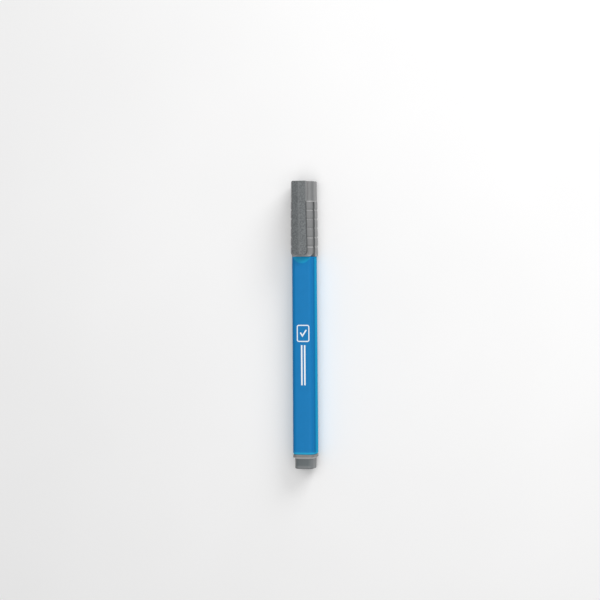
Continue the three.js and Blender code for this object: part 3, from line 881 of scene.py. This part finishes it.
def cap_plastic(name):
    """Grey plastic, with painted highlights along each grip ledge and round the rim, and painted shade on its
    front corners, the upper parts of its sides and inside each side slot.
    """
    look = moulded_plastic(name, CAP_GREY, rough=0.42, grain_mm=0.2, grain_depth=0.006, tone=0.02)
    along, up = look.axis(look.place, "Y"), look.axis(look.place, "Z")
    aside = look.maths("ABSOLUTE", look.axis(look.place, "X"))
    # Painted shade on the cap's front corners and the upper parts of its sides
    tint(look, sides(look, 1.6, 5.1, 0.8), CAP_CORNER_SHADE)
    # A painted highlight round the cap's rim band
    tint(look, look.band(along, CAP_RIM - 1, CAP_RIM + 0.9, 0.3), CAP_RIM_HIGHLIGHT)
    # Painted highlights on the upward-facing grip ledges, strongest towards both ends of the grip
    from_weakest = look.maths("ABSOLUTE", look.maths("SUBTRACT", along, WEAKEST_LEDGE_HIGHLIGHT * MM))
    highlight_strength = look.ramp(from_weakest, 0.1, 1, 3 * MM, 11 * MM)
    upward = look.ramp(look.facing("Y"), 0, 1, 0.15, 0.4)
    ledge_highlight = look.both(upward, look.band(along, CAP_RIM, GRIP_TOP + 0.3))
    tint(look, look.both(ledge_highlight, highlight_strength), CAP_LEDGE_HIGHLIGHT)
    # Painted shade inside each side slot, under the overhanging panel
    slot_shade = look.both(
        look.band(aside, SLOT_FLOOR - 0.3, CAP_TOP),
        look.band(up, AXIS + SLOT_LOW - 0.05, AXIS + SLOT_HIGH),
        look.band(along, CAP_RIM - 1, GRIP_TOP - 0.45),
    )
    tint(look, slot_shade, CAP_SLOT_SHADE)
    return look


def barrel_plastic(name):
    """Blue plastic, with painted light on the lower parts of its sides, in its scoop and at its tail edge,
    and painted shade on its front corners.
    Its front has a little shine and its sides have none."""
    look = moulded_plastic(name, BARREL_BLUE, rough=0.33, grain_mm=0.16, grain_depth=0.002, tone=0.025)
    shine = look.ramp(sides(look, -BARREL_HALF_TAIL, 4), 0.06, 0, 0, 1)
    look.join(shine, look.shader.inputs["Specular IOR Level"])
    # Painted shade on the barrel's front corners
    tint(look, sides(look, 1.6, BARREL_HALF_TAIL, start=0.1), BARREL_CORNER_SHADE)
    # Painted light on the lower parts of the barrel's sides
    tint(look, sides(look, -BARREL_HALF_TAIL, 1.4, 1.6), BARREL_SIDE_LIGHT)
    along = look.axis(look.place, "Y")
    # A painted highlight on the barrel's rounded tail edge
    tail_highlight = look.ramp(along, 1, 0, (BARREL_TAIL + 0.5) * MM, (BARREL_TAIL + 1.3) * MM)
    tint(look, tail_highlight, BARREL_TAIL_HIGHLIGHT)
    # Painted light in the thumb scoop, whose slope faces the cap
    distance = look.add("ShaderNodeVectorMath", operation="DISTANCE")
    look.join(look.place, distance.inputs[0])
    distance.inputs[1].default_value = metres(0, CAP_RIM + SCOOP_ABOVE_RIM, BARREL_HALF_FRONT)
    inside = look.ramp(distance.outputs["Value"], 1, 0, (SCOOP_RADIUS - 0.7) * MM, (SCOOP_RADIUS - 0.1) * MM)
    tint(look, inside, BARREL_SCOOP_LIGHT)
    return look


def plug_plastic(name):
    """Grey plastic, darker on the stub, with painted dark reflections on the stub's faces and a painted
    highlight along the flange's lower edge.
    """
    look = moulded_plastic(name, PLUG_GREY, rough=0.42, grain_mm=0.2, grain_depth=0.006)
    along = look.axis(look.place, "Y")
    tint(look, look.band(along, STUB_END - 1, FLANGE_LOW - 0.1, 0.3), STUB_GREY)
    aside = look.maths("ABSOLUTE", look.axis(look.place, "X"))
    # Painted dark reflections on the stub's faces
    patches = look.both(look.band(along, STUB_END + 1.5, FLANGE_LOW - 0.5, 0.7), look.band(aside, -1, 3.4, 1))
    tint(look, patches, STUB_DARK_REFLECTIONS)
    # A painted highlight along the flange's lower edge
    tint(look, look.band(along, FLANGE_LOW - 0.35, FLANGE_LOW + 0.35, 0.2), FLANGE_EDGE_HIGHLIGHT)
    return look


def clip_plastic(name):
    """Darker grey with a speckled, grained face and a painted highlight along its ridge. Its sides carry
    painted shade along the arm, and a painted highlight at the root that makes them about as light as the
    cap."""
    look = moulded_plastic(name, CLIP_GREY, rough=0.5, grain_mm=0.5, grain_depth=0.03, tone=0.05)
    speckle = look.ramp(look.noise(0.6, 2), 0, 1, 0.4, 0.6)
    tint(look, speckle, CLIP_SPECKLE)
    # A painted highlight along the clip's ridge
    across = look.maths("ABSOLUTE", look.axis(look.place, "X"))
    tint(look, look.ramp(across, 0.4, 0, 0.15 * MM, 0.6 * MM), CLIP_RIDGE_HIGHLIGHT)
    sideways = look.ramp(look.maths("ABSOLUTE", look.facing("X")), 0, 1, 0.4, 0.8)
    along = look.axis(look.place, "Y")
    # Painted shade on the arm's side walls
    tint(look, look.both(sideways, look.band(along, CLIP_TIP - 1, GRIP_TOP, 0.8)), CLIP_ARM_SIDE_SHADE)
    # A painted highlight on the side walls of the clip's root
    tint(look, look.both(sideways, look.band(along, GRIP_TOP, CAP_TOP + 1, 0.8)), CLIP_ROOT_SIDE_HIGHLIGHT)
    return look


def felt(name, colour, wet, fibre_mm, depth_mm=0.05):
    """Pressed or bonded fibre, drawn out along the pen and darker where the ink has gathered."""
    look = Look(name)
    fibres = look.noise(fibre_mm, 4, stretch=(1, 6, 1))
    patches = look.ramp(look.noise(1.5, 3), 0, 1)
    base = look.blend(look.ramp(fibres, 0, 1), tinted(colour, 0.75), tinted(colour, 1.12))
    look.colour(look.blend(look.ramp(patches, 0, 0.4, 0, 1), base, (*wet, 1)))
    look.roughness(look.ramp(fibres, 0.75, 0.95))
    look.bump(fibres, depth_mm)
    return look


def clear_film(name):
    look = Look(name)
    creases = look.noise(1.2, 3, stretch=(1, 5, 1))
    look.colour(look.blend(look.ramp(creases, 0, 1), (0.8, 0.8, 0.78, 1), (0.9, 0.9, 0.89, 1)))
    look.roughness(look.ramp(creases, 0.15, 0.3))
    look.bump(creases, 0.03)
    return look


def printed_ink(name):
    look = Look(name)
    speckle = look.noise(0.12, 3)
    look.colour(look.blend(look.ramp(speckle, 0, 1), (0.72, 0.78, 0.82, 1), (0.88, 0.9, 0.92, 1)))
    look.roughness(look.ramp(look.noise(0.5, 2), 0.4, 0.55))
    look.bump(speckle, 0.006)
    return look


def floor_finish(name):
    look = Look(name)
    patches = look.ramp(look.noise(90, 2), 0, 1)
    look.colour(look.blend(patches, (0.87, 0.868, 0.868, 1), (0.89, 0.888, 0.888, 1)))
    look.roughness(look.ramp(look.noise(40, 2), 0.65, 0.75))
    look.bump(look.noise(1.2, 4), 0.01)
    return look


# ---------------------------------------------------------------- the pen


def place(piece, body, look, nodes, slot=None):
    """Gives a piece its look, the body that it rides on and the CAD nodes that it replaces. Its slot argument
    is not used.
    """
    piece.data.materials.clear()
    piece.data.materials.append(look.material)
    if body:
        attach(piece, body)
    if nodes:
        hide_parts(*nodes)


place(make_barrel(), "pen", barrel_plastic("barrel_blue"), ["barrel"], "barrel_blue")
place(make_mark(), "pen", printed_ink("white_ink"), [])
place(make_plug(), "pen", plug_plastic("plug_grey"), ["end_plug"], "plug_grey")
black = moulded_plastic("holder_black", HOLDER_BLACK, rough=0.35, grain_mm=0.2, grain_depth=0.004)
place(make_holder(), "pen", black, ["nib_holder"], "holder_black")
nib_felt = felt("nib_felt", NIB_AMBER, NIB_WET, fibre_mm=0.14)
place(make_nib(), "pen", nib_felt, ["nib"], "nib_felt")
ink_fibre = felt("reservoir_fibre", FIBRE_AMBER, FIBRE_WET, fibre_mm=0.2)
place(make_fibre(), "pen", ink_fibre, ["ink_reservoir"], "reservoir_fibre")
place(make_film(), "pen", clear_film("sleeve_film"), ["reservoir_sleeve"], "sleeve_film")
place(make_cap(), "cap", cap_plastic("cap_grey"), ["cap_shell"], "cap_grey")
white = moulded_plastic("liner_white", LINER_WHITE, rough=0.5, grain_mm=0.3, grain_depth=0.004)
place(make_liner(), "cap", white, ["cap_liner"], "liner_white")

clip = make_clip()
place(clip, None, clip_plastic("clip_grey"), ["clip_base", "clip_arm"], "clip_grey")
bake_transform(clip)


# ---------------------------------------------------------------- studio

FLOOR_HALF = 3  # metres


def make_floor():
    bm = bmesh.new()
    bmesh.ops.create_grid(bm, x_segments=8, y_segments=8, size=FLOOR_HALF)
    floor = finish_mesh("studio_floor", bm)
    floor.data.materials.append(floor_finish("floor_paper").material)


def add_light(name, place, size, power):
    """A rectangular light at a place in metres, turned to the middle of the pen."""
    data = bpy.data.lights.new(name, "AREA")
    data.shape = "RECTANGLE"
    data.size, data.size_y = size
    data.energy = power
    light = bpy.data.objects.new(name, data)
    light.location = place
    light.rotation_euler = (-Vector(place)).to_track_quat("-Z", "Y").to_euler()
    light.visible_camera = False
    bpy.context.collection.objects.link(light)


def light_the_room(strength):
    """White light from all round."""
    world = bpy.data.worlds.new("studio")
    world.use_nodes = True
    background = world.node_tree.nodes["Background"]
    background.inputs["Color"].default_value = (1, 1, 1, 1)
    background.inputs["Strength"].default_value = strength
    bpy.context.scene.world = world


make_floor()
light_the_room(strength=0.32)
add_light("overhead", (0.1, 0.05, 0.8), size=(0.9, 0.9), power=4.6)
add_light("upper_right", (0.5, 0.65, 0.45), size=(0.5, 0.4), power=4.2)
bpy.context.scene.view_settings.view_transform = "Standard"

# The camera looks at the pen from its right side, and a little from the cap's end
YAW = math.radians(15)
PITCH = math.radians(1.25)
ROLL = math.radians(-0.4)
DISTANCE = 1.1215  # metres
FOCAL_LENGTH, SENSOR_WIDTH = 138, 36  # millimetres
NEAREST = 0.05  # metres from the camera
AIM = (-0.0023, 0.0122)  # metres across and along, from the pen's middle to what the camera points at


def make_camera():
    back = Vector((math.cos(PITCH) * math.sin(YAW), math.sin(PITCH), math.cos(PITCH) * math.cos(YAW)))
    across = Vector((0, 1, 0)).cross(back).normalized()
    up = back.cross(across)
    turn = Matrix((across, up, back)).transposed() @ Matrix.Rotation(ROLL, 3, "Z")
    target = metres(0, 0, 0) + across * AIM[0] + up * AIM[1]
    data = bpy.data.cameras.new("camera")
    data.lens = FOCAL_LENGTH
    data.sensor_width = SENSOR_WIDTH
    data.clip_start = NEAREST
    camera = bpy.data.objects.new("camera", data)
    camera.matrix_world = Matrix.Translation(target + back * DISTANCE) @ turn.to_4x4()
    bpy.context.collection.objects.link(camera)
    bpy.context.scene.camera = camera


make_camera()
